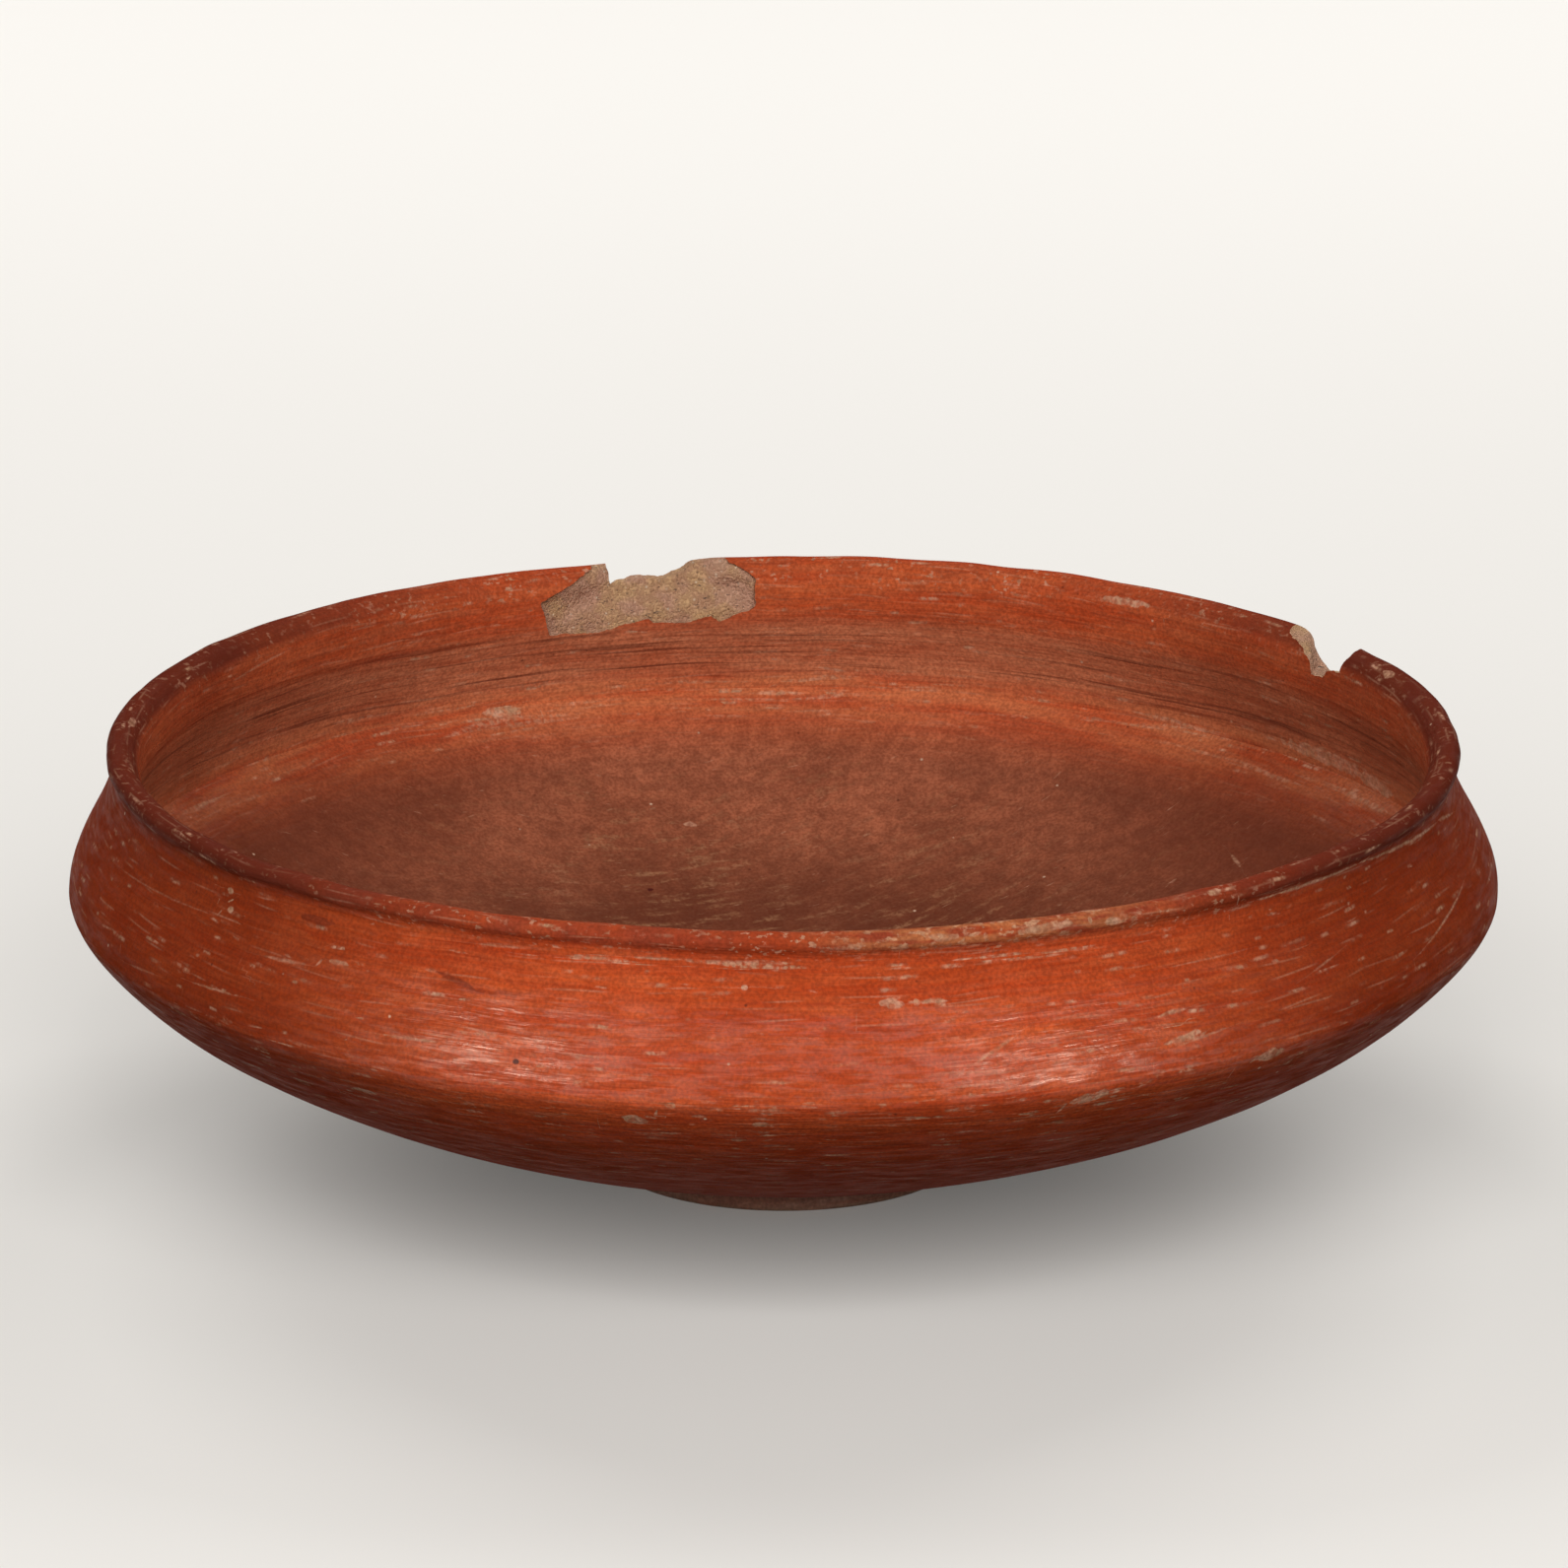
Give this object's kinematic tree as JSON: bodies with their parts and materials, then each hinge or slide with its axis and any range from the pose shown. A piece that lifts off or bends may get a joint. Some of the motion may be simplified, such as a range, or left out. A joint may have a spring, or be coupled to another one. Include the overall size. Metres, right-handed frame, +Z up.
{
  "type": "ceramic bowl",
  "caption": "Wide carinated earthenware bowl with a leaning shoulder, a small rolled rim with old chips, and a low ring foot, for holding food.",
  "frame": {"origin": "centre of the standing face of the ring foot, on the bowl's axis", "axes": "+Z up along the bowl's axis, -Y towards the front of the picture"},
  "size_m": [0.2118, 0.2118, 0.0659],
  "materials": {
    "foot_clay": "matt worn earthenware",
    "dish_slip": "burnished red slip, worn matt inside",
    "shoulder_slip": "burnished red slip",
    "rim_slip": "burnished red-brown slip, chipped"
  },
  "bodies": {
    "root": {"foot_ring": "foot_clay", "lower_bowl": "dish_slip", "shoulder_wall": "shoulder_slip", "rim_roll": "rim_slip"}
  },
  "joints": []
}
